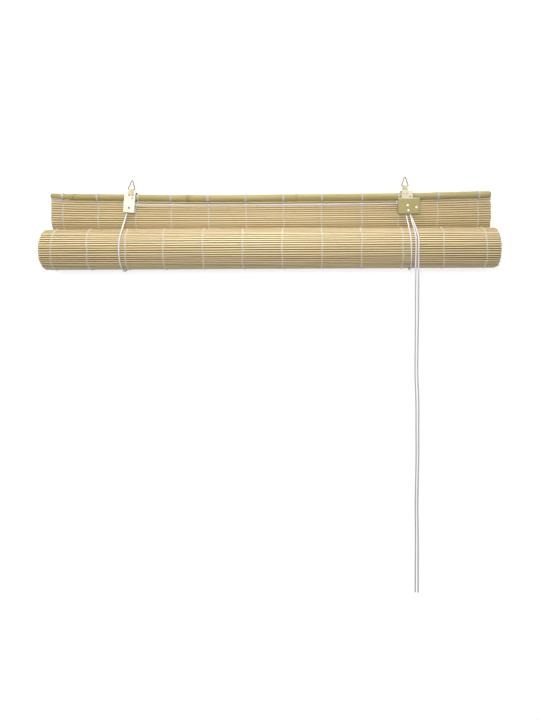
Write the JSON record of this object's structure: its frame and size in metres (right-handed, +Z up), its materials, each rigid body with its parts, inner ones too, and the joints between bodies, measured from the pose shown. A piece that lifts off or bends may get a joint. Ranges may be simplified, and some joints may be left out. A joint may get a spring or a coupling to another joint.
{
  "type": "roll-up bamboo blind",
  "caption": "Roll-up bamboo blind shown rolled up: cane head rod, splint mat tied with warp threads, strap clips with wire hangers, pulley, cord lock and pull cords.",
  "frame": {"origin": "midway along the head rod, level with the right hanging point and in the plane of both hangers", "axes": "+X along the head rod to the right as seen from the room, +Y towards the wall, +Z up"},
  "size_m": [0.996, 0.1024, 0.891],
  "materials": {
    "cane": "smooth bamboo skin, half gloss",
    "splints": "split bamboo, silky",
    "thread": "twisted cotton, matt",
    "brass_sheet": "brass-plated sheet, satin",
    "brass_pins": "brass-plated, satin",
    "brass_wire": "brass-plated wire, bright",
    "steel_nails": "plain steel",
    "nylon": "moulded nylon",
    "cast_cam": "cast, toothed",
    "cord": "braided polyester, matt"
  },
  "bodies": {
    "blind": {"head_rod": "cane", "bottom_rod": "cane", "reed_mat": "splints", "warp_threads": "thread", "left_clip": "brass_sheet", "right_clip": "brass_sheet", "left_hanger_tab": "brass_sheet", "right_hanger_tab": "brass_sheet", "tab_rivets": "brass_pins", "rod_nails": "steel_nails", "axle_pins": "brass_pins", "left_lift_cord": "cord", "right_lift_cord": "cord", "left_pull_cord": "cord", "right_pull_cord": "cord"},
    "left_hanger": {"left_hanger": "brass_wire"},
    "right_hanger": {"right_hanger": "brass_wire"},
    "left_pulley": {"left_pulley": "nylon"},
    "lock_front_pulley": {"lock_front_pulley": "nylon"},
    "lock_rear_pulley": {"lock_rear_pulley": "nylon"},
    "lock_roller": {"lock_roller": "nylon"},
    "lock_cam": {"lock_cam": "cast_cam"}
  },
  "joints": [
    {"name": "left_hanger_swing", "type": "hinge", "parent": "blind", "child": "left_hanger", "pos_m": [-0.31109, 0, -0.02337], "axis": [0.9962, 0, -0.0872], "range_deg": [-95, 120]},
    {"name": "right_hanger_swing", "type": "hinge", "parent": "blind", "child": "right_hanger", "pos_m": [0.30035, 0, -0.01891], "axis": [1, 0, 0], "range_deg": [-100, 120]},
    {"name": "left_pulley_spin", "type": "hinge", "parent": "blind", "child": "left_pulley", "pos_m": [-0.31714, 0.0044, -0.06402], "axis": [0, 1, 0], "continuous": true},
    {"name": "lock_front_pulley_spin", "type": "hinge", "parent": "blind", "child": "lock_front_pulley", "pos_m": [0.30665, 0.0022, -0.06191], "axis": [0, 1, 0], "continuous": true},
    {"name": "lock_rear_pulley_spin", "type": "hinge", "parent": "blind", "child": "lock_rear_pulley", "pos_m": [0.30665, 0.0065, -0.06191], "axis": [0, 1, 0], "continuous": true},
    {"name": "lock_roller_spin", "type": "hinge", "parent": "blind", "child": "lock_roller", "pos_m": [0.30815, 0.0044, -0.07351], "axis": [0, 1, 0], "continuous": true},
    {"name": "lock_cam_swing", "type": "hinge", "parent": "blind", "child": "lock_cam", "pos_m": [0.32595, 0.0044, -0.06641], "axis": [0, -1, 0], "range_deg": [0, 40]}
  ],
  "couplings": [
    {"joint": "lock_front_pulley_spin", "follows": "left_pulley_spin", "ratio": 1.2}
  ]
}
